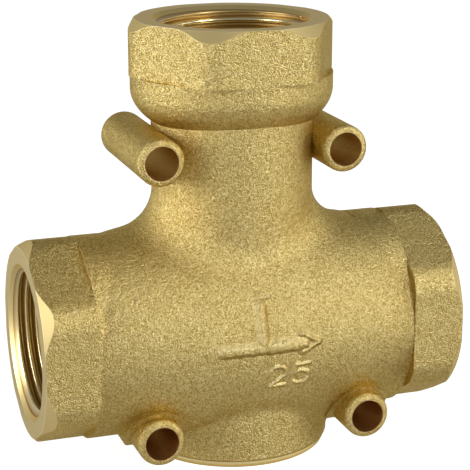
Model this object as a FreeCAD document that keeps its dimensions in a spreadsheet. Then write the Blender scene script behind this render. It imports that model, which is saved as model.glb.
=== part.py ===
"""Three-way thermostatic mixing valve, DN 25, as a parametric FreeCAD document.

Millimetres. Each sub-part is drawn round the point where the run axis (X) meets the
thermostat axis (Z), and is then lifted by the height of that point above the base.
The front is -Y, the system return enters at -X, hot water at +Z, mixed water leaves at +X.
"""
import FreeCAD, Part
import os
from math import cos, pi, sin, sqrt

import Sketcher

from FreeCAD import Placement, Rotation, Vector

doc = FreeCAD.newDocument("mixing_valve")
sheet = doc.addObject("Spreadsheet::Sheet", "sizes")

SIZES = {
    # casting, outside
    "foot_drop": 1.5, "run_half": 48.6, "top_height": 70.3,
    "hex_flats": 42.4, "hex_corner": 7.0, "hex_length": 12.0, "face_ring": 21.5, "bevel_slope": 1.2,
    "barrel_depth": 21.1, "barrel_rise": 23.0, "barrel_start": 29.0,
    "bulge_radius": 26.0, "bulge_end": 21.0,
    "neck_radius": 18.1, "neck_blend": 10.0,
    "collar_width": 22.7, "collar_depth": 21.1, "collar_drop": 15.3, "collar_bulb": 11.9,
    "boss_radius": 22.0, "boss_blend": 3.0, "rim_height": 1.8, "rim_width": 0.8,
    # four cast tubes, with the pads they stand on
    "tube_radius": 5.26, "tube_bore": 3.78, "tube_edge": 1.2,
    "upper_tube_offset": 21.0, "upper_tube_height": 42.3, "upper_tube_half": 16.0,
    "lower_tube_offset": 24.1, "lower_tube_drop": 17.9, "lower_tube_half": 24.1,
    "upper_pad_radius": 7.0, "upper_pad_step": 2.1, "lower_pad_radius": 6.7, "lower_pad_sink": 0.6,
    # ports and waterways
    "thread_root": 16.62, "thread_depth": 17.0, "lead_in": 0.8, "lead_flare": 1.1,
    "waterway_radius": 12.0, "waterway_end": 20.5,
    "core_half": 17.0, "core_reach": 16.5, "core_top": 15.5, "core_floor": 14.0, "core_round": 2.5,
    "web_above": 3.0, "web_below": 2.5,
    # thermostat axis, fixed pieces
    "insert_bore": 17.4, "shoulder_height": 3.0, "mixing_bore": 15.0,
    "hot_seat_height": 28.5, "hot_seat_bore": 10.5, "hot_seat_thickness": 3.0,
    "plug_root": 18.0, "plug_thread_length": 8.5, "plug_recess": 1.0, "plug_spigot": 4.5,
    "plug_gap": 0.1, "plug_hollow": 3.0, "plug_wall": 4.5, "socket_flats": 12.0, "socket_depth": 6.0,
    "cord_radius": 1.0, "cord_gap": 0.02, "cord_room": 0.3,
    "clip_thickness": 1.2, "clip_depth": 1.0, "clip_width": 2.4, "clip_gap_half": 4.0, "clip_play": 0.05,
    "insert_gap": 0.3, "flange_thickness": 1.8, "seal_thickness": 1.0, "seal_inner": 15.1,
    "cold_seat_bore": 11.5, "bridge_half": 3.0, "bridge_thickness": 1.5, "bridge_reach": 13.7,
    "bridge_drop": 8.0, "bridge_pad": 4.0, "bridge_pad_thickness": 3.0,
    "pin_radius": 1.9, "pin_gap": 0.06, "pin_length": 21.0, "pin_seat_depth": 2.0, "pin_bevel": 0.3,
    "cage_inner": 13.0, "cage_thickness": 1.0, "cage_half": 4.0, "cage_height": 17.0,
    "cage_disc": 11.0, "cage_plate_thickness": 1.5, "cage_hole": 7.1,
    "main_wire": 1.3, "main_coil": 9.3, "main_turns": 4.0,
    # thermostat axis, moving pieces
    "guide_radius": 3.6, "guide_drop": 7.0, "guide_collar": 5.2, "guide_collar_thickness": 1.6,
    "guide_head_thickness": 1.6, "disc_radius": 12.6, "disc_thickness": 1.4, "disc_seal_width": 2.6,
    "cup_radius": 6.5, "cup_wall": 0.9, "cup_length": 10.0, "fill_gap": 0.05,
    "boot_radius": 3.0, "boot_length": 6.4, "boot_flange": 1.0, "boot_cap": 1.0,
    "stem_radius": 2.0, "stem_base": 4.0, "stem_base_thickness": 1.0, "stem_length": 10.1,
    "bypass_radius": 12.3, "bypass_thickness": 1.2, "bypass_lift": 6.0,
    "bypass_wire": 0.9, "bypass_coil": 5.3, "bypass_turns": 4.0,
    "keeper_radius": 4.0, "keeper_thickness": 0.7, "keeper_depth": 0.4, "keeper_gap_half": 1.2,
}


class Size:
    """A length that knows both its value now and the expression that gives it."""

    def __init__(self, value, text):
        self.value = float(value)
        self.text = text

    @staticmethod
    def of(other):
        return other if isinstance(other, Size) else Size(other, repr(float(other)))

    def join(self, other, sign, value):
        return Size(value, "(%s %s %s)" % (self.text, sign, Size.of(other).text))

    def __add__(self, other):
        return self.join(other, "+", self.value + Size.of(other).value)

    def __sub__(self, other):
        return self.join(other, "-", self.value - Size.of(other).value)

    def __mul__(self, other):
        return self.join(other, "*", self.value * Size.of(other).value)

    def __truediv__(self, other):
        return self.join(other, "/", self.value / Size.of(other).value)

    def __neg__(self):
        return Size(-self.value, "(0 - %s)" % self.text)


for row, (alias, number) in enumerate(SIZES.items(), 1):
    sheet.set("A%d" % row, alias)
    sheet.set("B%d" % row, str(number))
    sheet.setAlias("B%d" % row, alias)
doc.recompute()

ZERO = Size(0, "0")


def size(alias):
    return Size(SIZES[alias], "sizes.%s" % alias)


# the boss reaches a little below the bulge, and the valve stands on it
AXIS_HEIGHT = size("bulge_radius") + size("foot_drop")


def bind(item, prop, length):
    """Tie a property of an object to an expression of the sheet."""
    item.setExpression(prop, length.text)


# --- drawing helpers -------------------------------------------------------------------

def body_named(label, lifted=True):
    """A body; one that is joined to another later isn't lifted."""
    body = doc.addObject("PartDesign::Body", label)
    body.Label = label
    if lifted:
        bind(body, "Placement.Base.z", AXIS_HEIGHT)
    return body


def sketch_on(body, plane, name, offset=None):
    """A sketch on an origin plane of its own body, moved along the plane's normal."""
    sketch = body.newObject("Sketcher::SketchObject", name)
    origin = [o for o in body.Origin.OriginFeatures if o.Role == plane + "_Plane"][0]
    sketch.AttachmentSupport = [(origin, "")]
    sketch.MapMode = "FlatFace"
    if offset is not None:
        bind(sketch, "AttachmentOffset.Base.z", offset)
    return sketch


def pin_point(sketch, line, end, across, up, tag):
    """Hold one end of a line at a place given by two sizes."""
    for length, kind, axis in ((across, "DistanceX", -2), (up, "DistanceY", -1)):
        if length is ZERO:
            rule = Sketcher.Constraint("PointOnObject", line, end, axis)
            sketch.addConstraint(rule)
            continue
        forward = length.value >= 0
        ends = (-1, 1, line, end) if forward else (line, end, -1, 1)
        number = sketch.addConstraint(Sketcher.Constraint(kind, *ends, abs(length.value)))
        label = "%s%s" % (kind[-1].lower(), tag)
        sketch.renameConstraint(number, label)
        sketch.setExpression("Constraints." + label, (length if forward else -length).text)


def outline(sketch, points):
    """A closed outline of straight lines through points given as pairs of sizes."""
    places = [Vector(x.value, y.value, 0) for x, y in points]
    count = len(places)
    for i in range(count):
        sketch.addGeometry(Part.LineSegment(places[i], places[(i + 1) % count]), False)
    for i in range(count):
        sketch.addConstraint(Sketcher.Constraint("Coincident", i, 2, (i + 1) % count, 1))
    for i, (x, y) in enumerate(points):
        pin_point(sketch, i, 1, x, y, str(i))
    return sketch


def circle(sketch, radius, across=ZERO, up=ZERO, tag=""):
    centre = Vector(across.value, up.value, 0)
    line = sketch.addGeometry(Part.Circle(centre, Vector(0, 0, 1), radius.value), False)
    number = sketch.addConstraint(Sketcher.Constraint("Radius", line, radius.value))
    sketch.renameConstraint(number, "radius" + tag)
    sketch.setExpression("Constraints.radius" + tag, radius.text)
    pin_point(sketch, line, 3, across, up, "centre" + tag)
    return sketch


def ellipse(sketch, wide, high):
    """An ellipse round the sketch's origin, from its two half sizes."""
    if wide.value > high.value:
        major, minor = Vector(wide.value, 0, 0), Vector(0, high.value, 0)
    else:
        major, minor = Vector(0, high.value, 0), Vector(-wide.value, 0, 0)
    line = sketch.addGeometry(Part.Ellipse(major, minor, Vector(0, 0, 0)), False)
    sketch.exposeInternalGeometry(line)
    sketch.addConstraint(Sketcher.Constraint("Coincident", line, 3, -1, 1))
    lengths = (wide, high) if wide.value > high.value else (high, wide)
    flat = "Horizontal" if wide.value > high.value else "Vertical"
    sketch.addConstraint(Sketcher.Constraint(flat, line + 1))
    for step, (length, label) in enumerate(zip(lengths, ("major", "minor")), 1):
        number = sketch.addConstraint(Sketcher.Constraint("Distance", line + step, 2 * length.value))
        sketch.renameConstraint(number, label)
        sketch.setExpression("Constraints." + label, (length * 2).text)
    return sketch


def extrude(body, kind, sketch, name, length, side="One side", reverse=False):
    feature = body.newObject("PartDesign::" + kind, name)
    feature.Profile = sketch
    feature.SideType = side
    feature.Reversed = reverse
    bind(feature, "Length", length)
    sketch.Visibility = False
    doc.recompute()
    return feature


def turn(body, kind, sketch, name, axis="V_Axis"):
    feature = body.newObject("PartDesign::" + kind, name)
    feature.Profile = sketch
    feature.ReferenceAxis = (sketch, [axis])
    feature.Angle = 360
    sketch.Visibility = False
    doc.recompute()
    return feature


def lathe(body, name, points, kind="Revolution", plane="XZ", axis="V_Axis"):
    """A turned shape, or a turned cut, from its half section."""
    sketch = outline(sketch_on(body, plane, name + "_section"), points)
    return turn(body, kind, sketch, name, axis)


def edges_where(feature, wanted):
    """Names of the edges of a feature that a test picks."""
    return ["Edge%d" % (i + 1) for i, edge in enumerate(feature.Shape.Edges) if wanted(edge)]


def soften(body, kind, feature, names, name, amount):
    """A fillet or a chamfer on the named edges."""
    step = body.newObject("PartDesign::" + kind, name)
    step.Base = (feature, names)
    bind(step, "Radius" if kind == "Fillet" else "Size", amount)
    doc.recompute()
    return step


def levels():
    """Heights on the thermostat axis, measured from the run axis."""
    z = {"base": -AXIS_HEIGHT, "shoulder": size("shoulder_height"), "top": size("top_height")}
    z["seal"] = z["shoulder"] - size("seal_thickness")
    z["flange"] = z["seal"] - size("flange_thickness")
    z["clip"] = z["flange"] - size("clip_thickness")
    z["core_low"] = z["clip"] - size("web_below")
    z["core_up"] = z["shoulder"] + size("web_above")
    z["thread"] = z["base"] + size("plug_thread_length")
    z["plug_low"] = z["base"] + size("plug_recess")
    z["plug_top"] = z["thread"] + size("plug_spigot")
    z["cord"] = z["plug_top"] - size("cord_radius") * 2
    z["bridge"] = -size("bridge_drop")
    z["pin"] = z["bridge"] - size("pin_seat_depth")
    z["hot_seat"] = size("hot_seat_height")
    z["hot_top"] = z["hot_seat"] + size("hot_seat_thickness")
    z["top_thread"] = z["top"] - size("thread_depth")
    z["collar"] = z["top"] - size("collar_drop")
    z["hex"] = z["top"] - size("hex_length")
    z["disc"] = z["shoulder"] + size("disc_thickness")
    z["head"] = z["disc"] + size("guide_head_thickness")
    z["cup"] = z["disc"] + size("cup_length")
    z["cage"] = z["seal"] + size("cage_height")
    z["plate"] = z["cage"] - size("cage_plate_thickness")
    z["bypass_top"] = z["hot_seat"] - size("bypass_lift")
    z["bypass"] = z["bypass_top"] - size("bypass_thickness")
    return z


Z = levels()


# --- the casting -----------------------------------------------------------------------

def draw_bulge(body):
    """The middle of the run: an arc turned about the run axis."""
    half = size("run_half") - size("hex_length")
    rise = size("bulge_radius") - size("bulge_end")
    crown_radius = (half * half + rise * rise) / (rise * 2)
    section = sketch_on(body, "XZ", "bulge_section")
    ends = [(-half, ZERO), (-half, size("bulge_end")), (half, size("bulge_end")), (half, ZERO)]
    spots = [Vector(x.value, y.value, 0) for x, y in ends]
    crown = Vector(0, size("bulge_radius").value, 0)
    section.addGeometry(Part.LineSegment(spots[0], spots[1]), False)
    section.addGeometry(Part.Arc(spots[1], crown, spots[2]), False)
    section.addGeometry(Part.LineSegment(spots[2], spots[3]), False)
    section.addGeometry(Part.LineSegment(spots[3], spots[0]), False)
    for joined in ((0, 2, 1, 2), (1, 1, 2, 1), (2, 2, 3, 1), (3, 2, 0, 1)):
        section.addConstraint(Sketcher.Constraint("Coincident", *joined))
    for i, (line, end) in enumerate(((0, 1), (0, 2), (2, 1), (2, 2))):
        pin_point(section, line, end, *ends[i], str(i))
    number = section.addConstraint(Sketcher.Constraint("Radius", 1, crown_radius.value))
    section.renameConstraint(number, "crown")
    section.setExpression("Constraints.crown", crown_radius.text)
    turn(body, "Revolution", section, "bulge", "H_Axis")


def on_upright(edge, radius, low, high):
    """True for an edge that lies on an upright cylinder, between two heights."""
    return all(abs(sqrt(p.x ** 2 + p.y ** 2) - radius) < 0.02 and low < p.z < high
               for p in edge.discretize(7))


def draw_branches(body):
    """The neck above the bulge and the boss below it."""
    for name, height in (("neck", Z["collar"]), ("boss", AXIS_HEIGHT)):
        disc = circle(sketch_on(body, "XY", name + "_circle"), size(name + "_radius"))
        extrude(body, "Pad", disc, name, height, reverse=name == "boss")
    rim, width, rise = size("boss_radius"), size("rim_width"), size("rim_height")
    bevel = [(rim - width * 2, Z["base"] - rise), (rim + width, Z["base"] + rise * 2),
             (rim + width, Z["base"] - rise)]
    lathe(body, "rim_bevel", bevel, "Groove")


def blend(body, name, low, high):
    """The cast fillet where the neck or the boss meets the bulge."""
    radius = size(name + "_radius").value
    names = edges_where(body.Tip, lambda edge: on_upright(edge, radius, low, high))
    soften(body, "Fillet", body.Tip, names, name + "_blend", size(name + "_blend"))


def at_tube_end(edge, half, height):
    """True for the round edge at either end of a tube."""
    return all(abs(abs(p.y) - half) < 0.01 and abs(p.z - height) < size("tube_radius").value + 0.1
               for p in edge.discretize(5))


def draw_tubes():
    """Tool body: the four tubes that run front to back, with their pads."""
    body = body_named("tubes", lifted=False)
    rows = {"upper": (size("upper_tube_offset"), size("upper_tube_height")),
            "lower": (size("lower_tube_offset"), -size("lower_tube_drop"))}
    for row, (across, up) in rows.items():
        pads = sketch_on(body, "XZ", row + "_pad_circles")
        circle(pads, size(row + "_pad_radius"), across, up, "a")
        circle(pads, size(row + "_pad_radius"), -across, up, "b")
        extrude(body, "Pad", pads, row + "_pads", size(row + "_tube_half") * 2, "Symmetric")
        far = size(row + "_tube_half") * 3
        if row == "upper":
            skin = size("neck_radius") + size("upper_pad_step")
            low = up - size("upper_pad_radius") * 1.2
            high = up + size("upper_pad_radius") * 1.2
            box = [(skin, low), (far, low), (far, high), (skin, high)]
            lathe(body, "upper_pad_trim", box, "Groove")
        else:
            skin = size("bulge_radius") - size("lower_pad_sink")
            box = [(-far, skin), (far, skin), (far, far), (-far, far)]
            lathe(body, "lower_pad_trim", box, "Groove", axis="H_Axis")
    for row, (across, up) in rows.items():
        bars = sketch_on(body, "XZ", row + "_tube_circles")
        circle(bars, size("tube_radius"), across, up, "a")
        circle(bars, size("tube_radius"), -across, up, "b")
        half = size(row + "_tube_half")
        feature = extrude(body, "Pad", bars, row + "_tubes", half * 2, "Symmetric")
        names = edges_where(feature, lambda edge: at_tube_end(edge, half.value, up.value))
        soften(body, "Fillet", feature, names, row + "_tube_edges", size("tube_edge"))
    return body


def draw_collar(body):
    """The cup-shaped collar under the top port."""
    width, depth = size("collar_width"), size("collar_depth")
    bulb = body.newObject("PartDesign::AdditiveEllipsoid", "collar_bulb")
    for prop, length in (("Radius1", size("collar_bulb")), ("Radius2", width), ("Radius3", depth)):
        bind(bulb, prop, length)
    bulb.Angle1 = -90
    bulb.Angle2 = 0
    bind(bulb, "Placement.Base.z", Z["collar"])
    doc.recompute()
    oval = ellipse(sketch_on(body, "XY", "collar_section", Z["collar"]), width, depth)
    extrude(body, "Pad", oval, "collar", Z["hex"] - Z["collar"])


def hexagon(sketch, flats, lean):
    """A hexagon round the origin; a lean of 90 degrees puts a corner on the upright axis."""
    points = [Vector(cos((60 * k + lean) * pi / 180), sin((60 * k + lean) * pi / 180), 0)
              * (flats.value / sqrt(3)) for k in range(6)]
    for k in range(6):
        sketch.addGeometry(Part.LineSegment(points[k], points[(k + 1) % 6]), False)
    ring = sketch.addGeometry(Part.Circle(Vector(0, 0, 0), Vector(0, 0, 1), flats.value / sqrt(3)), True)
    sketch.addConstraint(Sketcher.Constraint("Coincident", ring, 3, -1, 1))
    for k in range(6):
        sketch.addConstraint(Sketcher.Constraint("Coincident", k, 2, (k + 1) % 6, 1))
        sketch.addConstraint(Sketcher.Constraint("PointOnObject", k, 1, ring))
    for k in range(5):
        sketch.addConstraint(Sketcher.Constraint("Equal", k, k + 1))
    sketch.addConstraint(Sketcher.Constraint("PointOnObject", 0, 1, -1 if lean == 0 else -2))
    number = sketch.addConstraint(Sketcher.Constraint("Radius", ring, flats.value / sqrt(3)))
    sketch.renameConstraint(number, "corners")
    sketch.setExpression("Constraints.corners", "(%s) / sqrt(3)" % flats.text)
    return sketch


def draw_ends():
    """Tool body: three hexagonal wrench ends, their corners rounded and their rims bevelled."""
    body = body_named("wrench_ends", lifted=False)
    face, rise = size("run_half"), size("top_height")
    starts = {"top": ("XY", rise - size("hex_length"), 0), "left": ("YZ", -face, 90),
              "right": ("YZ", face - size("hex_length"), 90)}
    for name, (plane, start, lean) in starts.items():
        draft = hexagon(sketch_on(body, plane, name + "_hexagon", start), size("hex_flats"), lean)
        extrude(body, "Pad", draft, name + "_end", size("hex_length"))
    names = edges_where(body.Tip, lambda edge: abs(edge.Length - size("hex_length").value) < 1e-3)
    soften(body, "Fillet", body.Tip, names, "corners", size("hex_corner"))
    ring, far = size("face_ring"), size("hex_flats") * 0.6
    deep = (far - ring) * size("bevel_slope")
    lathe(body, "top_bevel", [(ring, rise), (far, rise), (far, rise - deep)], "Groove")
    lathe(body, "right_bevel", [(face, ring), (face, far), (face - deep, far)], "Groove", axis="H_Axis")
    lathe(body, "left_bevel", [(-face, ring), (-face, far), (deep - face, far)], "Groove", axis="H_Axis")
    return body


def segment(sketch, radius, level):
    """The part of a disc round the origin that lies beyond a level, above or below it."""
    half = sqrt(radius.value ** 2 - level.value ** 2)
    ends = [Vector(half, level.value, 0), Vector(-half, level.value, 0)]
    if level.value < 0:
        ends.reverse()
    away = Vector(0, radius.value if level.value > 0 else -radius.value, 0)
    sketch.addGeometry(Part.Arc(ends[0], away, ends[1]), False)
    sketch.addGeometry(Part.LineSegment(ends[1], ends[0]), False)
    sketch.addConstraint(Sketcher.Constraint("Coincident", 0, 2, 1, 1))
    sketch.addConstraint(Sketcher.Constraint("Coincident", 0, 1, 1, 2))
    sketch.addConstraint(Sketcher.Constraint("Coincident", 0, 3, -1, 1))
    sketch.addConstraint(Sketcher.Constraint("Horizontal", 1))
    number = sketch.addConstraint(Sketcher.Constraint("Radius", 0, radius.value))
    sketch.renameConstraint(number, "radius")
    sketch.setExpression("Constraints.radius", radius.text)
    ends = (-1, 1, 1, 1) if level.value > 0 else (1, 1, -1, 1)
    number = sketch.addConstraint(Sketcher.Constraint("DistanceY", *ends, abs(level.value)))
    sketch.renameConstraint(number, "level")
    sketch.setExpression("Constraints.level", (level if level.value > 0 else -level).text)
    return sketch


def draw_cores():
    """Tool body: the inlet chamber, the mixing chamber and their openings to the run."""
    body = body_named("cores", lifted=False)
    reach, half = size("core_reach"), size("core_half")
    chambers = {"inlet": (-size("core_floor"), Z["core_low"]), "mixing": (Z["core_up"], size("core_top"))}
    for name, (low, high) in chambers.items():
        box = [(-reach, low), (reach, low), (reach, high), (-reach, high)]
        draft = outline(sketch_on(body, "YZ", name + "_section"), box)
        extrude(body, "Pad", draft, name + "_chamber", half * 2, "Symmetric")
    names = edges_where(body.Tip, lambda edge: abs(edge.Length - half.value * 2) < 1e-3)
    soften(body, "Fillet", body.Tip, names, "rounding", size("core_round"))
    length = size("waterway_end") - half + 1
    for name, level, start in (("inlet", Z["core_low"], -half - length), ("mixing", Z["core_up"], half)):
        draft = segment(sketch_on(body, "YZ", name + "_opening_section", start),
                        size("waterway_radius"), level)
        extrude(body, "Pad", draft, name + "_opening", length)
    return body


def bore_casting(body):
    """The machined bores of the three ports and of the thermostat's place."""
    root, way, lead = size("thread_root"), size("waterway_radius"), size("lead_in")
    mouth = root + size("lead_flare")
    bore, seat, stop = size("insert_bore"), size("hot_seat_bore"), size("shoulder_height")
    groove = bore + size("clip_depth")
    stack = [(ZERO, Z["base"]), (size("plug_root"), Z["base"]), (size("plug_root"), Z["thread"]),
             (bore, Z["thread"]), (bore, Z["clip"] - size("clip_play")),
             (groove, Z["clip"] - size("clip_play")), (groove, Z["flange"]), (bore, Z["flange"]),
             (bore, stop), (size("mixing_bore"), stop), (size("mixing_bore"), Z["hot_seat"]),
             (seat, Z["hot_seat"]), (seat, Z["hot_top"]), (way, Z["hot_top"]),
             (way, Z["top_thread"]), (root, Z["top_thread"]), (root, Z["top"] - lead),
             (mouth, Z["top"]), (ZERO, Z["top"])]
    lathe(body, "stack_bore", stack, "Groove")
    face, floor, end = size("run_half"), size("run_half") - size("thread_depth"), size("waterway_end")
    run = [(end, ZERO), (end, way), (floor, way), (floor, root), (face - lead, root),
           (face, mouth), (face, ZERO)]
    lathe(body, "right_bore", run, "Groove", axis="H_Axis")
    lathe(body, "left_bore", [(-x, r) for x, r in run], "Groove", axis="H_Axis")


def join(body, kind, tools, name):
    """Fuse tool bodies to a body, or cut them from it."""
    step = body.newObject("PartDesign::Boolean", name)
    step.Type = kind
    step.setObjects(tools)
    doc.recompute()
    return step


def draw_casting():
    """The cast body: a bulged run, a neck, a lower boss, three hexagons and four tubes."""
    body = body_named("valve_body")
    draw_bulge(body)
    draw_branches(body)
    blend(body, "boss", (Z["base"] + size("rim_height") * 1.1).value, 0)
    start, end = size("barrel_start"), size("run_half") - size("hex_length")
    for name, place in (("right", start), ("left", -end)):
        oval = ellipse(sketch_on(body, "YZ", name + "_oval", place), size("barrel_depth"),
                       size("barrel_rise"))
        extrude(body, "Pad", oval, name + "_barrel", end - start)
    draw_collar(body)
    join(body, "Fuse", [draw_tubes(), draw_ends()], "tubes_and_ends")
    bore_casting(body)
    join(body, "Cut", [draw_cores()], "cored_chambers")
    bars = sketch_on(body, "XZ", "tube_bore_circles")
    for tag, across, up in (("a", size("upper_tube_offset"), size("upper_tube_height")),
                            ("b", size("lower_tube_offset"), -size("lower_tube_drop"))):
        circle(bars, size("tube_bore"), across, up, tag)
        circle(bars, size("tube_bore"), -across, up, tag + "m")
    extrude(body, "Pocket", bars, "tube_bores", size("lower_tube_half") * 2 + 2, "Symmetric")
    tubes_low = size("upper_tube_height") - size("upper_pad_radius")
    blend(body, "neck", size("waterway_radius").value, tubes_low.value)
    return body


# --- pieces fixed in the casting --------------------------------------------------------

def ring_section(inner, outer, low, high):
    return [(inner, low), (outer, low), (outer, high), (inner, high)]


def draw_ring(label, inner, outer, low, high):
    """A plain washer-like piece."""
    body = body_named(label)
    lathe(body, label + "_ring", ring_section(inner, outer, low, high))
    return body


def draw_plug():
    """The screwed plug that closes the boss, with its groove and its hexagon socket."""
    outer, spigot = size("plug_root") - size("plug_gap"), size("insert_bore") - size("plug_gap")
    groove = size("insert_bore") - size("cord_radius") * 2
    room = size("cord_radius") + size("cord_room")
    body = body_named("service_plug")
    hollow, floor = spigot - size("plug_wall"), Z["plug_top"] - size("plug_hollow")
    lathe(body, "plug", [(ZERO, Z["plug_low"]), (outer, Z["plug_low"]), (outer, Z["thread"]),
                         (spigot, Z["thread"]), (spigot, Z["cord"] - room),
                         (groove, Z["cord"] - room), (groove, Z["cord"] + room),
                         (spigot, Z["cord"] + room), (spigot, Z["plug_top"]),
                         (hollow, Z["plug_top"]), (hollow, floor), (ZERO, floor)])
    draft = hexagon(sketch_on(body, "XY", "socket_hexagon", Z["plug_low"]), size("socket_flats"), 0)
    extrude(body, "Pocket", draft, "socket", size("socket_depth"), reverse=True)


def draw_cord():
    body = body_named("plug_o_ring")
    cord = circle(sketch_on(body, "XZ", "cord_section"), size("cord_radius") - size("cord_gap"),
                  size("insert_bore") - size("cord_radius"), Z["cord"])
    turn(body, "Revolution", cord, "cord")


def draw_clip():
    """The ring that keeps the seat flange up against the casting's shoulder."""
    body = body_named("retaining_ring")
    outer = size("insert_bore") + size("clip_depth") - size("clip_play") * 2
    lathe(body, "clip", ring_section(outer - size("clip_width"), outer, Z["clip"], Z["flange"]))
    half, far = size("clip_gap_half"), outer * 1.2
    gap = [(ZERO, -half), (far, -half), (far, half), (ZERO, half)]
    draft = outline(sketch_on(body, "XY", "gap_section", Z["clip"]), gap)
    extrude(body, "Pocket", draft, "gap", size("clip_thickness"), reverse=True)


def draw_flange():
    """The cold seat: a ring with a bridge below it that carries the piston pin."""
    body = body_named("seat_flange")
    outer = size("insert_bore") - size("insert_gap")
    lathe(body, "flange", ring_section(size("cold_seat_bore"), outer, Z["flange"], Z["seal"]))
    wide, metal, low = size("bridge_reach"), size("bridge_thickness"), Z["bridge"]
    mid = Z["flange"] + size("flange_thickness") / 2
    strap = [(-wide, mid), (-wide, low - metal), (wide, low - metal), (wide, mid),
             (wide - metal, mid), (wide - metal, low), (metal - wide, low), (metal - wide, mid)]
    draft = outline(sketch_on(body, "YZ", "strap_section"), strap)
    extrude(body, "Pad", draft, "strap", size("bridge_half") * 2, "Symmetric")
    pad = circle(sketch_on(body, "XY", "pad_circle", low), size("bridge_pad"))
    extrude(body, "Pad", pad, "pad", size("bridge_pad_thickness"), reverse=True)
    hole = circle(sketch_on(body, "XY", "pin_hole", low), size("pin_radius") + size("fill_gap"))
    extrude(body, "Pocket", hole, "pin_seat", size("pin_seat_depth"))


def draw_pin():
    body = body_named("piston_pin")
    top, radius, bevel = Z["pin"] + size("pin_length"), size("pin_radius"), size("pin_bevel")
    lathe(body, "pin", [(ZERO, Z["pin"]), (radius, Z["pin"]), (radius, top - bevel),
                        (radius - bevel, top), (ZERO, top)])


def draw_cage():
    """The stirrup that holds the top of the main spring."""
    body = body_named("spring_cage")
    inner, low, top = size("cage_inner"), Z["seal"], Z["cage"]
    outer = inner + size("cage_thickness")
    strap = [(-outer, low), (-inner, low), (-inner, Z["plate"]), (inner, Z["plate"]),
             (inner, low), (outer, low), (outer, top), (-outer, top)]
    draft = outline(sketch_on(body, "YZ", "strap_section"), strap)
    extrude(body, "Pad", draft, "strap", size("cage_half") * 2, "Symmetric")
    plate = circle(sketch_on(body, "XY", "plate_circle", Z["plate"]), size("cage_disc"))
    extrude(body, "Pad", plate, "plate", size("cage_plate_thickness"))
    hole = circle(sketch_on(body, "XY", "hole_circle", top), size("cage_hole"))
    extrude(body, "Pocket", hole, "cup_hole", size("cage_plate_thickness") * 1.5)


def draw_spring(label, coil, wire, turns, low, high):
    """A coil spring between two flat seats, one wire radius clear of each."""
    body = body_named(label)
    section = circle(sketch_on(body, "XZ", "wire_section"), wire / 2, coil, low + wire / 2)
    helix = body.newObject("PartDesign::AdditiveHelix", label + "_coil")
    helix.Profile = section
    helix.ReferenceAxis = (section, ["V_Axis"])
    helix.Mode = "height-turns-angle"
    bind(helix, "Height", high - low - wire)
    bind(helix, "Turns", turns)
    helix.Angle = 0
    section.Visibility = False
    doc.recompute()


# --- pieces that ride with the wax element ---------------------------------------------

def draw_guide():
    """The brass guide round the pin, staked under the valve disc."""
    body = body_named("pin_guide")
    bore, tube, collar = size("pin_radius") + size("pin_gap"), size("guide_radius"), size("guide_collar")
    head = size("cup_radius") - size("cup_wall") - size("fill_gap")
    staked = Z["shoulder"] - size("guide_collar_thickness")
    foot = Z["shoulder"] - size("guide_drop")
    lathe(body, "guide", [(bore, foot), (tube, foot), (tube, staked), (collar, staked),
                          (collar, Z["shoulder"]), (tube, Z["shoulder"]), (tube, Z["disc"]),
                          (head, Z["disc"]), (head, Z["head"]), (bore, Z["head"])])


def draw_boot():
    """The rubber boot that the wax squeezes round the pin."""
    body = body_named("rubber_boot")
    bore, skin = size("pin_radius") + size("pin_gap"), size("boot_radius")
    flange = size("cup_radius") - size("cup_wall") - size("fill_gap")
    low, top = Z["head"], Z["head"] + size("boot_length")
    lathe(body, "boot", [(bore, low), (flange, low), (flange, low + size("boot_flange")),
                         (skin, low + size("boot_flange")), (skin, top), (ZERO, top),
                         (ZERO, top - size("boot_cap")), (bore, top - size("boot_cap"))])


def draw_wax():
    body = body_named("wax_charge")
    gap = size("fill_gap")
    low, high = Z["head"] + size("boot_flange"), Z["cup"] - size("cup_wall")
    inner, outer = size("boot_radius") + gap, size("cup_radius") - size("cup_wall") - gap
    above = Z["head"] + size("boot_length") + gap
    lathe(body, "wax", [(inner, low), (outer, low), (outer, high), (ZERO, high),
                        (ZERO, above), (inner, above)])


def draw_cup():
    body = body_named("wax_cup")
    outer, inner = size("cup_radius"), size("cup_radius") - size("cup_wall")
    roof = Z["cup"] - size("cup_wall")
    lathe(body, "cup", [(inner, Z["disc"]), (outer, Z["disc"]), (outer, Z["cup"]),
                        (ZERO, Z["cup"]), (ZERO, roof), (inner, roof)])


def draw_stem():
    """The stem on the cup that carries the bypass disc, its spring and its clip."""
    body = body_named("bypass_stem")
    base, radius, top = size("stem_base"), size("stem_radius"), Z["cup"] + size("stem_length")
    neck, low = radius - size("keeper_depth"), Z["bypass_top"]
    high = low + size("keeper_thickness") * 1.1
    step = Z["cup"] + size("stem_base_thickness")
    lathe(body, "stem", [(ZERO, Z["cup"]), (base, Z["cup"]), (base, step), (radius, step),
                         (radius, low), (neck, low), (neck, high), (radius, high),
                         (radius, top), (ZERO, top)])


def draw_keeper():
    """The small open clip in the stem's groove."""
    body = body_named("stem_clip")
    inner, outer = size("stem_radius") - size("keeper_depth") + size("fill_gap"), size("keeper_radius")
    low, metal, half = Z["bypass_top"], size("keeper_thickness"), size("keeper_gap_half")
    lathe(body, "keeper", ring_section(inner, outer, low, low + metal))
    far = outer * 1.2
    gap = [(ZERO, -half), (far, -half), (far, half), (ZERO, half)]
    draft = outline(sketch_on(body, "XY", "gap_section", low), gap)
    extrude(body, "Pocket", draft, "gap", metal, reverse=True)


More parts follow.
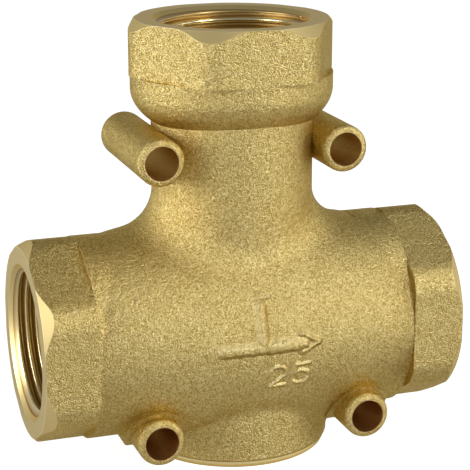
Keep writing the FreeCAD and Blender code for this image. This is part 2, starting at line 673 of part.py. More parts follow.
draw_casting()
draw_plug()
draw_cord()
draw_clip()
draw_flange()
draw_ring("flange_seal", size("seal_inner"), size("insert_bore") - size("insert_gap"),
          Z["seal"], Z["shoulder"])
draw_pin()
draw_cage()
draw_spring("main_spring", size("main_coil"), size("main_wire"), size("main_turns"),
            Z["disc"], Z["plate"])
draw_guide()
draw_boot()
draw_wax()
draw_cup()
draw_ring("main_disc", size("guide_radius") + size("fill_gap"), size("disc_radius"),
          Z["shoulder"], Z["disc"])
draw_ring("disc_seal", size("disc_radius") - size("disc_seal_width"), size("disc_radius"),
          Z["seal"], Z["shoulder"])
draw_stem()
draw_spring("bypass_spring", size("bypass_coil"), size("bypass_wire"), size("bypass_turns"),
            Z["cup"], Z["bypass"])
draw_ring("bypass_disc", size("stem_radius") + size("pin_gap"), size("bypass_radius"),
          Z["bypass"], Z["bypass_top"])
draw_keeper()
doc.recompute()

faulty = [item.Name for item in doc.Objects if {"Invalid", "Error"} & set(item.State)]
if faulty:
    raise RuntimeError("features in error: %s" % ", ".join(faulty))

os.makedirs("parts", exist_ok=True)
joined = ("tubes", "wrench_ends", "cores")
for body in doc.findObjects("PartDesign::Body"):
    if body.Label in joined:
        continue
    shape = body.Shape
    if shape.isNull() or not shape.isValid() or len(shape.Solids) != 1:
        raise RuntimeError("bad solid: %s" % body.Label)
    shape.exportStep("parts/%s.step" % body.Label)
    print("%-16s %9.1f mm3" % (body.Label, shape.Volume))
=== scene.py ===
# %% [markdown]
# # A cast brass mixing valve
# The part is a three-way valve for a heating circuit. Its body is one brass casting: a run with
# a port at each end, a neck with a third port on top, and a low boss below. The shapes come
# ready made from the solid model. This notebook gives them their metal, cuts the pipe threads
# as real geometry, winds springs in place of the solid ones, raises the cast signs on the front,
# and sets up floor, light and camera.

# %% Load the solid model
import math
from collections import namedtuple

import bmesh
import bpy
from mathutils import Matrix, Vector, noise


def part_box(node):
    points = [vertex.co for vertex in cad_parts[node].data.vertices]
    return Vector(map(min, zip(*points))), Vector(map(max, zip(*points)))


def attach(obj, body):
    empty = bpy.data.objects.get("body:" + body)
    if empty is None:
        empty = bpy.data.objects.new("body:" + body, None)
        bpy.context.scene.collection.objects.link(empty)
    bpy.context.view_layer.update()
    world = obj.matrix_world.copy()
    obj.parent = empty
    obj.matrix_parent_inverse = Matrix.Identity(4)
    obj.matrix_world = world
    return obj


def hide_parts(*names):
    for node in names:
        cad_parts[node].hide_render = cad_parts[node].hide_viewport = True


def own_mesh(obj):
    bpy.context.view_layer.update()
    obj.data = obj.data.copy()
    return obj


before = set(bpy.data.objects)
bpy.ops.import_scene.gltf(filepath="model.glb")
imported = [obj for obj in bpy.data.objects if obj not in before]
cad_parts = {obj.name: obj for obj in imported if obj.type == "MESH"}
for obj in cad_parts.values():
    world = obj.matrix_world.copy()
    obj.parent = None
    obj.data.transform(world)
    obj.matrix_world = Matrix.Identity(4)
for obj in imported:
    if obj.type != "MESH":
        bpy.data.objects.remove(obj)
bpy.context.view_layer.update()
MM = 0.001

# %% [markdown]
# ## Sizes the finishes need
# The cast skin and the machined faces meet along known circles and cones, so the finish can be
# chosen from a point's place alone. Lengths are in millimetres. `AXIS` is how high the run's
# axis lies above the boss's rim, and each port's face is a known distance along its axis. The
# run between the ports is an arc turned about its axis, 26 mm thick in the middle.

# %% Known sizes of the casting
AXIS, RUN_FACE, TOP_FACE = 27.5, 48.6, 97.8
FACE_RING, BEVEL_SLOPE = 21.5, 1.2
MOUTH, THREAD_ROOT, THREAD_CREST, PITCH = 17.72, 16.62, 15.15, 2.309
RIM_HEIGHT = 1.8
TUBES = ((21.0, 69.8), (24.1, 9.6))
TUBE_BORE = 3.78
BULGE, BULGE_END, BARREL_HALF = 26.0, 21.0, 36.6
BULGE_RISE = BULGE - BULGE_END
BULGE_ARC = (BARREL_HALF ** 2 + BULGE_RISE ** 2) / (2 * BULGE_RISE)


def bulge_at(x):
    """Radius of the bulged run about its own axis, x millimetres from its middle."""
    return BULGE - BULGE_ARC + math.sqrt(BULGE_ARC ** 2 - x ** 2)


print("bulge radius at the middle and at 20 mm:", bulge_at(0), round(bulge_at(20), 2))

# %% [markdown]
# ## Shader sums as plain Python
# A material is a graph of nodes, and long sums are hard to read as a graph. The small class
# below wraps one output socket. Adding, multiplying or comparing two of them adds the Math node
# that does it, so a mask reads like the formula it is. `Graph.node` makes every other node, for
# the materials and for the world alike.

# %% Socket arithmetic
class Wire:
    """One value that varies over a surface; sums on it add Math nodes."""

    def __init__(self, graph, socket):
        self.graph = graph
        self.socket = socket

    def sum(self, operation, *others):
        values = dict(enumerate((self,) + others))
        return self.graph.node("ShaderNodeMath", {"operation": operation}, values)

    def __add__(self, other):
        return self.sum("ADD", other)

    def __mul__(self, other):
        return self.sum("MULTIPLY", other)

    def __sub__(self, other):
        return self.sum("SUBTRACT", other)

    def __rsub__(self, other):
        return self.graph.node("ShaderNodeMath", {"operation": "SUBTRACT"}, {0: other, 1: self})

    def __truediv__(self, other):
        return self.sum("DIVIDE", other)

    def __pow__(self, other):
        return self.sum("POWER", other)

    def __abs__(self):
        return self.sum("ABSOLUTE")

    def __gt__(self, other):
        return self.sum("GREATER_THAN", other)

    def __lt__(self, other):
        return self.sum("LESS_THAN", other)

    __radd__ = __add__
    __rmul__ = __mul__


def length2(a, b):
    """Length of the line whose two legs are a and b."""
    return (a * a + b * b) ** 0.5


print("sums ready:", [name for name in vars(Wire) if name.startswith("__r")])

# %% The node maker
class Graph:
    """The node tree of a material or of the world, and the one method that fills it."""

    def __init__(self, owner):
        owner.use_nodes = True
        self.tree = owner.node_tree
        self.tree.nodes.clear()

    def node(self, kind, settings, sockets, output=0):
        """Add a node: first its settings, then the values or links of its sockets."""
        made = self.tree.nodes.new(kind)
        for name, value in settings.items():
            if name == "stops":
                self.set_stops(made.color_ramp, value)
            else:
                setattr(made, name, value)
        for key, value in sockets.items():
            self.plug(made.inputs[key], value)
        return Wire(self, made.outputs[output]) if made.outputs else None

    def set_stops(self, ramp, stops):
        while len(ramp.elements) < len(stops):
            ramp.elements.new(0.5)
        for element, (place, colour) in zip(ramp.elements, stops):
            element.position = place
            element.color = (*colour, 1)

    def plug(self, socket, value):
        if isinstance(value, Wire):
            self.tree.links.new(value.socket, socket)
        else:
            socket.default_value = value

    def parts(self, vector):
        """The x, y and z of a vector."""
        first = self.node("ShaderNodeSeparateXYZ", {}, {0: vector})
        return [Wire(self, socket) for socket in first.socket.node.outputs]

    def sight(self, share):
        """1 for the camera, a share for mirrors and glass, and 0 for all other light."""
        camera = self.node("ShaderNodeLightPath", {}, {}, "Is Camera Ray")
        rays = camera.socket.node.outputs
        glossy, through = [Wire(self, rays[name]) for name in ("Is Glossy Ray",
                                                               "Is Transmission Ray")]
        return camera + glossy.sum("MAXIMUM", through) * share


print("node maker ready")

# %% The finish of a piece
class Finish(Graph):
    """A material with one Principled shader and the nodes that feed it."""

    def __init__(self, name, metallic, **constants):
        self.material = bpy.data.materials.new(name)
        super().__init__(self.material)
        sockets = {socket.replace("_", " "): value for socket, value in constants.items()}
        shader = self.node("ShaderNodeBsdfPrincipled", {}, {"Metallic": metallic, **sockets})
        self.node("ShaderNodeOutputMaterial", {}, {0: shader})
        self.inputs = shader.socket.node.inputs

    def show(self, colour, rough):
        self.plug(self.inputs["Base Color"], colour)
        self.plug(self.inputs["Roughness"], rough)

    def bump(self, height, distance):
        """Raise the shading by a height of 0 to 1 times a distance in millimetres."""
        self.plug(self.inputs["Normal"], self.node(
            "ShaderNodeBump", {}, {"Height": height, "Distance": distance * MM, "Strength": 1.0}))

    def place(self):
        """A point's place on its own object in millimetres: the vector, then x, y and z."""
        spot = self.node("ShaderNodeTexCoord", {}, {}, "Object")
        spot = self.node("ShaderNodeVectorMath", {"operation": "SCALE"}, {0: spot, "Scale": 1 / MM})
        return [spot] + self.parts(spot)

    def noise(self, spot, scale, detail=3.0, rough=0.55):
        return self.node("ShaderNodeTexNoise", {}, {"Vector": spot, "Scale": scale,
                                                    "Detail": detail, "Roughness": rough})

    def ramp(self, value, stops):
        return self.node("ShaderNodeValToRGB", {"stops": stops}, {0: value})

    def blend(self, factor, first, second, how="MIX"):
        """A colour between two others, or with "MULTIPLY" the first one darkened."""
        first, second = [colour if isinstance(colour, Wire) else (*colour, 1)
                         for colour in (first, second)]
        return self.node("ShaderNodeMix", {"data_type": "RGBA", "blend_type": how},
                         {0: factor, 6: first, 7: second}, 2)

    def between(self, factor, first, second):
        """A number between two others."""
        return factor * second + (1 - factor) * first

    def spread(self, value, start, end, low, high):
        """A number that runs from low to high while the value runs from start to end."""
        return self.node("ShaderNodeMapRange", {}, {0: value, 1: start, 2: end, 3: low, 4: high})

    def dress(self, name):
        """Give a node of the solid model this finish."""
        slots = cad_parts[name].material_slots
        for slot in slots:
            slot.material = self.material
        print(name, "wears", self.material.name, "in", len(slots), "slot(s)")


print("finishes ready")

# %% [markdown]
# ## Where a cutter has been
# The casting is rough except where it was machined: the three port faces with their bevels, the
# mouths and bores behind them, the bore that holds the insert, and the rim of the boss. Each of
# these is a place with a simple rule, such as a radius below 17.7 mm. So each gets a mask of 0
# or 1 from radii and heights, and the border between two finishes is as sharp as a cut.

# %% Masks of the machined places
SLIVER, BEVEL_BLEED, HOLE_BLEED = 0.05, 0.14, 0.12
BEVEL_REACH, BORED_DEPTH, INSERT_TOP = 4, 17.5, AXIS + 3.4


def highest(*masks):
    """The largest of several masks at each point."""
    first = masks[0]
    for other in masks[1:]:
        first = first.sum("MAXIMUM", other)
    return first


def bevel_mask(x, z, round_run, round_neck):
    """1 on the turned bevels of the ports and on the boss's rim."""
    cone = FACE_RING * BEVEL_SLOPE - BEVEL_BLEED
    run = (round_run * BEVEL_SLOPE + abs(x)) > (cone + RUN_FACE)
    top = (round_neck * BEVEL_SLOPE + z) > (cone + TOP_FACE)
    return highest(run * (abs(x) > (RUN_FACE - BEVEL_REACH)),
                   top * (z > (TOP_FACE - BEVEL_REACH)), z < RIM_HEIGHT)


def faced_mask(x, z):
    """1 on the flat faces of the ports."""
    return highest(abs(x) > (RUN_FACE - SLIVER), z > (TOP_FACE - SLIVER))


def bored_mask(x, z, round_run, round_neck):
    """1 in the mouths, the thread bores and the bore of the insert; the chambers stay raw."""
    wall, low, high = MOUTH - SLIVER, INSERT_TOP, TOP_FACE - BORED_DEPTH
    run = (round_run < wall) * (abs(x) > (RUN_FACE - BORED_DEPTH))
    upright = abs(z - (low + high) / 2) > (high - low) / 2
    return highest(run, (round_neck < wall) * upright)


def hole_mask(x, z, along, up):
    """1 inside a pair of cast tubes."""
    return length2(abs(x) - along, z - up) < (TUBE_BORE + HOLE_BLEED)


print("tube pairs with their own mask:", len(TUBES))

# %% [markdown]
# ## The casting's skin
# Sand casting leaves a skin of packed grains about half a millimetre across, bright on its
# peaks and brown in its pits. A fine noise makes the grains and a coarser one makes lumps; the
# same two noises drive the colour, the roughness and the bump, so the three agree. The cut
# places are smooth and paler. The rim of the boss is golden at the bottom, with a painted
# highlight band across it and a dark line along its top edge. Brass stays yellow where it is
# seen at a flat angle, and the tint says so.

# %% Grains of the cast skin
GRAIN, LUMPS, PATCHES = (3.2, 2.0, 0.6), (1.1, 1.0, 0.5), (0.07, 2.0, 0.5)
GRAIN_SHARE, LUMP_SHARE = 2.3, 0.6
RAW_SKIN = ((0.15, (0.46, 0.31, 0.08)), (0.5, (0.71, 0.545, 0.195)), (0.85, (0.92, 0.77, 0.38)))
PATCH_TINT = (0.92, 0.90, 0.86)
SKIN_DEPTH = 0.42
EDGE_TINT = (0.94, 0.80, 0.46, 1)


def sand_relief(finish, spot):
    """Height of the packed grains, about 0.5, and the two noises that it is made of."""
    grain, lumps = finish.noise(spot, *GRAIN), finish.noise(spot, *LUMPS)
    return (grain - 0.5) * GRAIN_SHARE + (lumps - 0.5) * LUMP_SHARE + 0.5, grain, lumps


def skin_colour(finish, spot, relief, stops=RAW_SKIN):
    """Pale on the grains and brown between them, with faint patches a finger wide."""
    tint = finish.blend(finish.noise(spot, *PATCHES), PATCH_TINT, (1.0, 1.0, 1.0))
    return finish.blend(1.0, finish.ramp(relief, stops), tint, "MULTIPLY")


def skin_roughness(grain):
    return 0.34 + (0.5 - grain) * 0.25


def skin_height(grain, lumps):
    return grain * 0.7 + lumps * 0.4


print("grains are about", round(1 / GRAIN[0], 2), "mm across")

# %% Cast skin with its cut faces
BEVEL_METAL, FACE_METAL, BORE_METAL = (0.75, 0.61, 0.29), (0.90, 0.77, 0.49), (0.86, 0.68, 0.31)
UPPER_HOLE, LOWER_HOLE = (0.84, 0.60, 0.26), (0.76, 0.47, 0.20)
# Colours up the boss rim: golden at the bottom, a painted highlight band at about two thirds of its
# height, and a dark line along its top edge under the cast skin.
RIM_METAL_AND_HIGHLIGHT = ((0.0, (0.70, 0.50, 0.16)), (0.35, (0.90, 0.72, 0.30)), (0.62, (1.0, 0.92, 0.58)),
             (0.80, (0.92, 0.76, 0.36)), (0.90, (0.42, 0.28, 0.08)), (1.0, (0.50, 0.34, 0.11)))
CUT_ROUGH, BEVEL_ROUGHER = 0.40, 0.20


def cast_brass():
    finish = Finish("cast_brass", 1.0, Specular_Tint=EDGE_TINT)
    spot, x, y, z = finish.place()
    round_run, round_neck = length2(y, z - AXIS), length2(x, y)
    relief, grain, lumps = sand_relief(finish, spot)
    bevel = bevel_mask(x, z, round_run, round_neck)
    bored = bored_mask(x, z, round_run, round_neck)
    faced = faced_mask(x, z)
    upper, lower = [hole_mask(x, z, along, up) for along, up in TUBES]
    cut = highest(bevel, bored, faced)
    # The boss rim, golden with a painted highlight band and a dark line along its top edge.
    rim_with_highlight = finish.ramp(z / RIM_HEIGHT, RIM_METAL_AND_HIGHLIGHT)
    colour = skin_colour(finish, spot, relief)
    for mask, metal in ((bevel, BEVEL_METAL), (bored, BORE_METAL), (faced, FACE_METAL),
                        (upper, UPPER_HOLE), (lower, LOWER_HOLE), (z < RIM_HEIGHT, rim_with_highlight)):
        colour = finish.blend(mask, colour, metal)
    cut_rough = CUT_ROUGH + bevel * BEVEL_ROUGHER
    finish.show(colour, finish.between(cut, skin_roughness(grain), cut_rough))
    finish.bump(finish.between(cut, skin_height(grain, lumps), 0.5), SKIN_DEPTH)
    return finish


cast = cast_brass()
cast.dress("valve_body")

# %% [markdown]
# ## Turned, stamped, drawn and moulded pieces
# The pieces inside are small and mostly hidden, but a look into a port finds some of them. Each
# gets the marks of how it was made: rings from the lathe, a fine grain along rolled sheet,
# drawn lines on spring wire, and a dull skin on moulded rubber. Three functions are enough,
# because a piece of sheet and a piece of wire differ only in their colours and their shine.

# %% Three ways of making
LATHE_RINGS = 30
ALONG_THE_ROLL = (0.4, 6.0, 6.0)


def turned_metal(name, light, dark, rough):
    """Brass or copper from the lathe, with fine rings round the piece's axis."""
    finish = Finish(name, 1.0)
    spot, x, y, z = finish.place()
    ring = (length2(x, y) * LATHE_RINGS + z * LATHE_RINGS).sum("SINE")
    cloud = finish.noise(spot, 0.35)
    finish.show(finish.blend(cloud, dark, light), rough + (cloud - 0.5) * 0.12)
    finish.bump(ring * 0.5 + 0.5, 0.012)
    return finish


def rolled_steel(name, light, dark, rough):
    """Sheet or wire with streaks along the way it was rolled or drawn."""
    finish = Finish(name, 1.0)
    stretch = finish.node("ShaderNodeVectorMath", {"operation": "MULTIPLY"},
                          {0: finish.place()[0], 1: ALONG_THE_ROLL})
    streaks = finish.noise(stretch, 1.2)
    finish.show(finish.blend(streaks, dark, light), rough + (streaks - 0.5) * 0.2)
    finish.bump(streaks, 0.02)
    return finish


def dull_skin(name, light, dark, rough, grain):
    """Moulded rubber or pressed wax, dull and slightly pored."""
    finish = Finish(name, 0.0)
    pores = finish.noise(finish.place()[0], grain)
    finish.show(finish.blend(pores, dark, light), rough + (pores - 0.5) * 0.2)
    finish.bump(pores, 0.03)
    return finish


print("lathe rings every", round(2 * math.pi / LATHE_RINGS, 2), "mm")

# %% Finishes of the inner pieces
turned = turned_metal("turned_brass", (0.86, 0.70, 0.34), (0.74, 0.57, 0.25), 0.24)
copper = turned_metal("drawn_copper", (0.86, 0.52, 0.36), (0.70, 0.38, 0.24), 0.28)
sheet = rolled_steel("stainless_sheet", (0.66, 0.66, 0.65), (0.50, 0.50, 0.50), 0.30)
wire = rolled_steel("spring_wire", (0.58, 0.59, 0.61), (0.40, 0.41, 0.43), 0.26)
rubber = dull_skin("black_rubber", (0.035, 0.035, 0.037), (0.018, 0.018, 0.019), 0.62, 1.4)
wax = dull_skin("copper_filled_wax", (0.52, 0.30, 0.19), (0.38, 0.20, 0.12), 0.70, 2.2)

WEARERS = {
    turned: ("service_plug", "pin_guide"),
    copper: ("wax_cup",),
    sheet: ("retaining_ring", "seat_flange", "piston_pin", "spring_cage", "main_disc",
            "bypass_stem", "bypass_disc", "stem_clip"),
    wire: ("main_spring", "bypass_spring"),
    rubber: ("plug_o_ring", "flange_seal", "rubber_boot", "disc_seal"),
    wax: ("wax_charge",)}
for finish, names in WEARERS.items():
    for name in names:
        finish.dress(name)

# %% [markdown]
# ## Meshes from rows of points
# A thread and a spring are both a section that travels along a helix. One function takes the
# rows of points, one row for each place of the section, and closes them to a tube with a cap at
# each end. Another puts a finished mesh in the scene, on the body that carries it.

# %% Tube and piece makers
STEPS = 96


def store(name, mesh):
    """Turn a finished bmesh into mesh data."""
    data = bpy.data.meshes.new(name)
    mesh.to_mesh(data)
    mesh.free()
    return data


def closed_tube(name, rows):
    """Quads between neighbouring rows of points in millimetres, and a cap at each end."""
    mesh = bmesh.new()
    rows = [[mesh.verts.new(point * MM) for point in row] for row in rows]
    for near, far in zip(rows, rows[1:]):
        for j in range(len(near)):
            k = (j + 1) % len(near)
            mesh.faces.new((near[j], near[k], far[k], far[j]))
    mesh.faces.new(rows[0])
    mesh.faces.new(reversed(rows[-1]))
    bmesh.ops.recalc_face_normals(mesh, faces=mesh.faces)
    return store(name, mesh)


def add_piece(data, finish, body="casing"):
    """Put a mesh in the scene with its finish, on the body that carries it."""
    piece = bpy.data.objects.new(data.name, data)
    bpy.context.scene.collection.objects.link(piece)
    data.materials.append(finish.material)
    for face in data.polygons:
        face.use_smooth = True
    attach(piece, body)
    return piece


print("steps in a turn of a helix:", STEPS)

# %% [markdown]
# ## Pipe threads
# A female pipe thread is one groove that winds round the bore, 2.309 mm from turn to turn. Here
# the metal between the grooves is built instead: a ridge that follows a helix from the mouth
# inwards. Its flanks lean 27.5 degrees from the radius and its crest is rounded. The cone at the
# mouth cuts its first turn down, and it sinks into the wall at its inner end.

# %% Thread ridge
Port = namedtuple("Port", "name face out right up")
ALONG, ACROSS, UP = Vector((1, 0, 0)), Vector((0, 1, 0)), Vector((0, 0, 1))
PORTS = (Port("top", UP * TOP_FACE, UP, ALONG, ACROSS),
         Port("left", Vector((-RUN_FACE, 0, AXIS)), -ALONG, -ACROSS, UP),
         Port("right", Vector((RUN_FACE, 0, AXIS)), ALONG, ACROSS, UP))
THREAD_DEPTH, FIRST_TURN, FADE = 16.0, 0.3, 0.35
LEAD_SLOPE = 1.1 / 0.8
ROOT_GAP, CREST_HALF, BURIED = 0.14, 0.16, 0.08
FLANK_POINTS = (0.35, 0.7, 0.9)


def ridge_profile():
    """Half width and height of the ridge, from wall to crest and back, in millimetres."""
    tall = THREAD_ROOT - THREAD_CREST
    slope = math.tan(math.radians(27.5))
    foot = PITCH / 2 - ROOT_GAP
    points = [(-foot, -BURIED), (-foot, 0.0)]
    points += [(-foot + slope * tall * part, tall * part) for part in FLANK_POINTS]
    points.append((-CREST_HALF, tall))
    return points + [(-width, height) for width, height in reversed(points)]


def cut_thread(port):
    """The ridge of one port, from its lead-in cone to its inner end."""
    count = int((THREAD_DEPTH - PITCH) / PITCH * STEPS)
    rows = []
    for i in range(count + 1):
        angle = 2 * math.pi * i / STEPS
        fade = min(1, (count - i) / (STEPS * FADE))
        along = FIRST_TURN + PITCH * i / STEPS
        ray = port.right * math.cos(angle) + port.up * math.sin(angle)
        row = []
        for width, tall in ridge_profile():
            deep = max(0.05, along + width)
            lead_in = MOUTH + 0.03 - deep * LEAD_SLOPE
            radius = max(THREAD_ROOT + 0.02 - tall * (fade if tall > 0 else 1), lead_in)
            row.append(port.face + ray * radius - port.out * deep)
        rows.append(row)
    return closed_tube(port.name + "_port_thread", rows)


print("points round the ridge:", len(ridge_profile()))

# %% [markdown]
# The thread's crests are smooth and painted paler than the faces, a painted highlight, and its
# grooves are painted brown, a painted shade, so the colour runs from pale to brown with the
# distance from the bore's axis.

# %% Thread finish with a painted highlight on the crests and painted shade in the grooves, and the three threads
# Pale crests are a painted highlight and brown grooves are painted shade.
THREAD_HIGHLIGHT_TO_SHADE = ((0.05, (0.95, 0.82, 0.48)), (0.45, (0.84, 0.66, 0.30)), (0.95, (0.44, 0.28, 0.10)))
NECK_HALF = 20


def bright_thread():
    finish = Finish("bright_thread", 1.0)
    spot, x, y, z = finish.place()
    from_run = length2(y, z - AXIS)
    in_run = abs(x) > NECK_HALF
    radius = finish.between(in_run, length2(x, y), from_run)
    depth = (radius - THREAD_CREST) / (THREAD_ROOT - THREAD_CREST)
    cloud = finish.noise(spot, 0.5)
    finish.show(finish.ramp(depth, THREAD_HIGHLIGHT_TO_SHADE), 0.20 + cloud * 0.08 + depth * 0.2)
    return finish


thread_lit_and_shaded = bright_thread()
for port in PORTS:
    thread = add_piece(cut_thread(port), thread_lit_and_shaded)
    print(thread.name, len(thread.data.polygons), "faces")

# %% [markdown] ## Coil springs When the wax pushes, the disc climbs and the large spring
# under the cage gives way; the small one on the stem gives way when the bypass is shut and the
# wax still moves. A solid spring would poke through its seat. Here each solid spring is hidden
# and a wound one of the same size is put in its place.

# %% Two coil springs
Spring = namedtuple("Spring", "node wire turns body joint fixed travel")
SPRINGS = (Spring("main_spring", 1.3, 4.0, "casing", "element_lift", 45.0, 5.9),
           Spring("bypass_spring", 0.9, 4.0, "element", "bypass_give", 41.9, 1.5))
CLOSED, SIDES, PLAY = 0.7, 12, 0.03


def climb(turn, spring, free):
    """Height of the wire's middle after some turns; the closed ends climb a wire per turn."""
    open_pitch = (free - 2 * CLOSED * spring.wire) / (spring.turns - 2 * CLOSED)
    ends = min(turn, CLOSED) + max(0, turn - (spring.turns - CLOSED))
    return ends * spring.wire + (turn - ends) * open_pitch


def wind(spring, low, high):
    """Round wire on a helix that fills the box of the solid spring."""
    thick = spring.wire / 2
    coil = (high.x - low.x) / MM / 2 - thick
    free = (high.z - low.z) / MM - spring.wire
    rows = []
    for i in range(int(spring.turns * STEPS / 2) + 1):
        turn = 2 * i / STEPS
        angle = 2 * math.pi * turn
        height = low.z / MM + thick + climb(turn, spring, free)
        row = []
        for k in range(SIDES):
            lean = 2 * math.pi * k / SIDES
            radius = coil + thick * math.cos(lean)
            row.append(Vector((radius * math.cos(angle), radius * math.sin(angle),
                               height + thick * math.sin(lean))))
        rows.append(row)
    return closed_tube(spring.node + "_wound", rows)


for spring in SPRINGS:
    low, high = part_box(spring.node)
    piece = add_piece(wind(spring, low, high), wire, spring.body)
    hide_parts(spring.node)
    left = 1 - (spring.travel + PLAY) / ((high.z - low.z) / MM)
    spring.fixed * MM
    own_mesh(piece)
    print(piece.name, "keeps", round(left, 3), "of its height")

# %% [markdown]
# ## Raised signs
# The pattern that made the mould carried a flow sign, a bar that joins an arrow to the right,
# and a plain size number under it. Cast signs stand a little proud, with soft edges. Each is a
# set of strokes: lines with a half width. A fine sheet is laid on the bulge, and each of its
# points is raised by how far it lies inside a stroke. Only the raised part of it is kept. Slow
# noise moves the edges a little, because no cast edge is straight.

# %% Strokes of the signs
Sign = namedtuple("Sign", "name strokes lift edge step reach")


def arc(cx, cz, rx, rz, first, last, steps=10):
    """Points of part of an ellipse, with angles in degrees."""
    turns = [math.radians(first + (last - first) * i / steps) for i in range(steps + 1)]
    return [(cx + rx * math.cos(t), cz + rz * math.sin(t)) for t in turns]


def digit_two(x, z, wide, tall):
    bow = arc(x + wide / 2, z + tall * 0.70, wide / 2, tall * 0.30, 165, -40)
    return [bow + [(x, z), (x + wide, z)]]


def digit_five(x, z, wide, tall):
    bow = arc(x + wide * 0.45, z + tall * 0.33, wide * 0.55, tall * 0.33, 130, -140)
    flag = [(x + wide, z + tall), (x + wide * 0.12, z + tall), (x + wide * 0.06, z + tall * 0.52)]
    return [flag + bow]


def digits(half):
    """The plain number 25, as strokes of one half width."""
    lines = digit_two(0.3, -7.2, 3.5, 4.6) + digit_five(5.5, -7.2, 3.7, 4.6)
    return [(line, half) for line in lines]


STEM = ([(-1.8, 10.9), (-1.5, 3.0)], 2.0)
SERIF = ([(-3.3, 12.3), (0.6, 12.5)], 0.75)
BAR = ([(-10.6, 2.0), (8.0, 2.1)], 2.0)
ARROWHEAD = ([(7.4, 4.4), (11.3, 2.2), (7.6, 0.4)], 1.3)
SIGNS = (Sign("flow_sign", [STEM, SERIF, BAR, ARROWHEAD], 0.95, 1.6, 0.2, (-15, 15, -3, 16)),
         Sign("size_number", digits(0.85), 0.52, 1.0, 0.12, (-1, 11, -9, -1)))
print("strokes:", {sign.name: len(sign.strokes) for sign in SIGNS})

# %% Sheets raised under the strokes
SINK, MARGIN = 0.10, 0.5
WOBBLE = ((0.22, 0.8, 3), (0.12, 2.4, 7))


def gap_to(x, z, line):
    """Distance from a point to a stroke's middle line."""
    best = 1e9
    for (ax, az), (bx, bz) in zip(line, line[1:]):
        dx, dz = bx - ax, bz - az
        t = max(0, min(1, ((x - ax) * dx + (z - az) * dz) / (dx * dx + dz * dz)))
        best = min(best, math.hypot(x - ax - t * dx, z - az - t * dz))
    return best


def depth_inside(sign, x, z):
    """How far a point lies inside the nearest stroke, with the wobble of a cast edge."""
    inside = max(half - gap_to(x, z, line) for line, half in sign.strokes)
    return inside + sign.edge * sum(share * noise.noise(Vector((x * scale, z * scale, layer)))
                                    for share, scale, layer in WOBBLE)


def raised_sign(sign):
    """A sheet over the bulge that rises under each stroke and is cut away elsewhere."""
    mesh = bmesh.new()
    left, right, low, high = sign.reach
    cols, rows = int((right - left) / sign.step), int((high - low) / sign.step)
    spots = {}
    for i in range(cols + 1):
        for j in range(rows + 1):
            x, z = left + i * sign.step, low + j * sign.step
            inside = depth_inside(sign, x, z)
            if inside < -MARGIN:
                continue
            rise = max(0, min(1, inside / sign.edge))
            rise = rise * rise * (3 - 2 * rise)
            radius = bulge_at(x) - SINK + (sign.lift + SINK) * rise
            front = -math.sqrt(radius ** 2 - z ** 2)
            spots[i, j] = mesh.verts.new(Vector((x, front, z + AXIS)) * MM)
    for i, j in spots:
        ring = [(i, j), (i + 1, j), (i + 1, j + 1), (i, j + 1)]
        if all(key in spots for key in ring):
            mesh.faces.new([spots[key] for key in ring])
    return store(sign.name, mesh)


print("a sign's foot lies", SINK, "mm under the bulge")

# %% [markdown]
# The signs' flanks that lean up or left are painted paler, a painted highlight, and those that
# lean down or right are painted brown, a painted shade. How far a point leans against the plain
# bulge tells the two apart, so the finish of the signs is the cast skin, with a paler one on what
# leans up or left and a brown one on what leans down or right.

# %% Finish of the signs with painted highlight and painted shade, and the signs themselves
# Skins for the painted highlight on flanks leaning up or left and the painted shade on flanks
# leaning down or right.
HIGHLIGHT_SKIN = ((0.15, (0.72, 0.56, 0.22)), (0.5, (0.90, 0.76, 0.36)), (0.85, (0.99, 0.90, 0.56)))
SHADE_SKIN = ((0.15, (0.36, 0.23, 0.05)), (0.5, (0.58, 0.42, 0.12)), (0.85, (0.78, 0.62, 0.26)))
SIDEWAYS = 0.7


def worn_sign():
    finish = Finish("worn_sign", 1.0, Specular_Tint=EDGE_TINT)
    spot, x, y, z = finish.place()
    tilt_x, tilt_y, tilt_z = finish.parts(finish.node("ShaderNodeNewGeometry", {}, {}, "Normal"))
    lean = tilt_z - (z - AXIS) / BULGE - tilt_x * SIDEWAYS
    relief, grain, lumps = sand_relief(finish, spot)
    # Share of painted highlight on flanks leaning up or left, then share of painted shade on flanks
    # leaning down or right.
    up = finish.spread(lean, 0.0, 0.4, 0.08, 0.85)
    shade_share = finish.spread(lean, -0.12, -0.5, 0.0, 0.8)
    colour = finish.blend(up, skin_colour(finish, spot, relief),
                          skin_colour(finish, spot, relief, HIGHLIGHT_SKIN))
    colour = finish.blend(shade_share, colour, skin_colour(finish, spot, relief, SHADE_SKIN))
    finish.show(colour, skin_roughness(grain))
    finish.bump(skin_height(grain, lumps), SKIN_DEPTH)
    return finish


sign_lit_and_shaded = worn_sign()
for sign in SIGNS:
    piece = add_piece(raised_sign(sign), sign_lit_and_shaded)
    print(piece.name, len(piece.data.polygons), "faces")

# %% [markdown]
# ## Floor
# The valve stands on its boss on a plain white floor. White paint alone would need so much lamp
# light to look white that the brass would burn out. So the paint is grey and keeps the shadow,
# and a glow is added that the camera sees in full, mirrors see in part, and nothing else sees.

# %% Floor
FLOOR_PAINT, FLOOR_GLOW, FLOOR_MIRRORED, FLOOR_SIZE = 0.46, 0.94, 0.22, 6


def paper_floor():
    material = bpy.data.materials.new("floor_paint")
    graph = Graph(material)
    paint = graph.node("ShaderNodeBsdfPrincipled", {}, {"Base Color": (*[FLOOR_PAINT] * 3, 1),
                                                        "Roughness": 0.9})
    glow = graph.node("ShaderNodeEmission", {}, {"Strength": FLOOR_GLOW})
    both = graph.node("ShaderNodeAddShader", {}, {0: paint, 1: glow})
    seen = graph.sight(FLOOR_MIRRORED)
    shown = graph.node("ShaderNodeMixShader", {}, {0: seen, 1: paint, 2: both})
    graph.node("ShaderNodeOutputMaterial", {}, {0: shown})
    return material


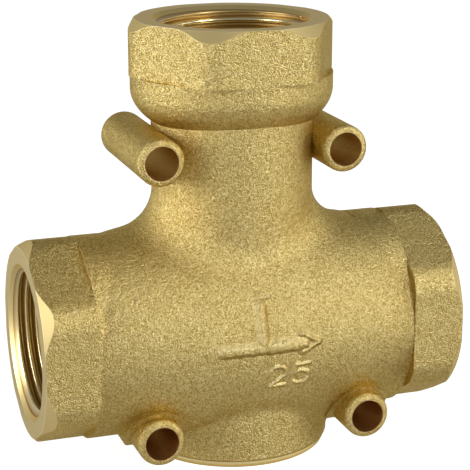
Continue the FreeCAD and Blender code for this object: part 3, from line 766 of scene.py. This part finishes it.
bpy.ops.mesh.primitive_plane_add(size=FLOOR_SIZE, location=(0, 0, 0))
floor = bpy.context.object
floor.name = "studio_floor"
floor.data.materials.append(paper_floor())
print(floor.name, "is", FLOOR_SIZE, "m wide")

# %% [markdown]
# ## Studio tent and lamps
# Metal shows what surrounds it, so the world is a soft tent, pale at eye level and dimmer
# overhead, and white to the camera. One large lamp stands low at the left, a smaller one high
# at the front, and a weak one low at the right, so that the flats of the hexagons differ.

# %% World
SKY_MIRRORED = 0.145
TENT = 0.409
TENT_GREYS = ((0.0, 1.0), (0.18, 0.934), (0.42, 0.306), (0.9, 0.173))


def tent_world():
    world = bpy.data.worlds.new("tent")
    graph = Graph(world)
    height = graph.parts(graph.node("ShaderNodeTexCoord", {}, {}, "Generated"))[2]
    stops = [(place, (grey,) * 3) for place, grey in TENT_GREYS]
    shade = graph.node("ShaderNodeValToRGB", {"stops": stops}, {0: height})
    tent = graph.node("ShaderNodeBackground", {}, {"Color": shade, "Strength": TENT})
    paper = graph.node("ShaderNodeBackground", {}, {"Color": (1, 1, 1, 1), "Strength": 1.0})
    seen = graph.sight(SKY_MIRRORED)
    shown = graph.node("ShaderNodeMixShader", {}, {0: seen, 1: tent, 2: paper})
    graph.node("ShaderNodeOutputWorld", {}, {0: shown})
    return world


bpy.context.scene.world = tent_world()
print("tent strength low down and overhead:", TENT, round(TENT * TENT_GREYS[-1][1], 3))

# %% Lamps
Lamp = namedtuple("Lamp", "name place size power")
LAMPS = (Lamp("tent_left", (-0.74, 0.05, 0.23), 0.44, 3.6),
         Lamp("tent_front", (0.34, -0.58, 0.52), 0.26, 3.1),
         Lamp("tent_right", (0.70, -0.30, 0.18), 0.34, 1.0))
LAMP_TARGET = (0, 0, 0.045)


def aim(thing, place, target):
    """Move a lamp or camera to a place and turn it to a target."""
    thing.location = place
    thing.rotation_euler = (Vector(target) - Vector(place)).to_track_quat("-Z", "Y").to_euler()


for lamp in LAMPS:
    light = bpy.data.lights.new(lamp.name, "AREA")
    light.size = lamp.size
    light.energy = lamp.power
    thing = bpy.data.objects.new(lamp.name, light)
    bpy.context.scene.collection.objects.link(thing)
    aim(thing, lamp.place, LAMP_TARGET)
    print(lamp)

# %% [markdown]
# ## Camera
# The camera stands to the left of the front and looks down a little, so that both the left
# mouth and the top mouth show their threads. It is only 37 cm away, so a long lens fills the
# frame with the valve. There is no depth of field, because every view has to be sharp.

# %% Camera
AZIMUTH, ELEVATION, DISTANCE = math.radians(-19.08), math.radians(16.14), 0.36984
TARGET = Vector((0.00079, 0, 0.04779))
LENS, SENSOR = 124.22, 36
back = Vector((math.sin(AZIMUTH) * math.cos(ELEVATION), -math.cos(AZIMUTH) * math.cos(ELEVATION),
               math.sin(ELEVATION)))
lens = bpy.data.cameras.new("camera")
lens.lens = LENS
lens.sensor_width = SENSOR
camera = bpy.data.objects.new("camera", lens)
bpy.context.scene.collection.objects.link(camera)
aim(camera, TARGET + back * DISTANCE, TARGET)
bpy.context.scene.camera = camera
bpy.context.scene.view_settings.view_transform = "Standard"
print("camera at", [round(v, 4) for v in camera.location])

# %% [markdown]
# ## Finish
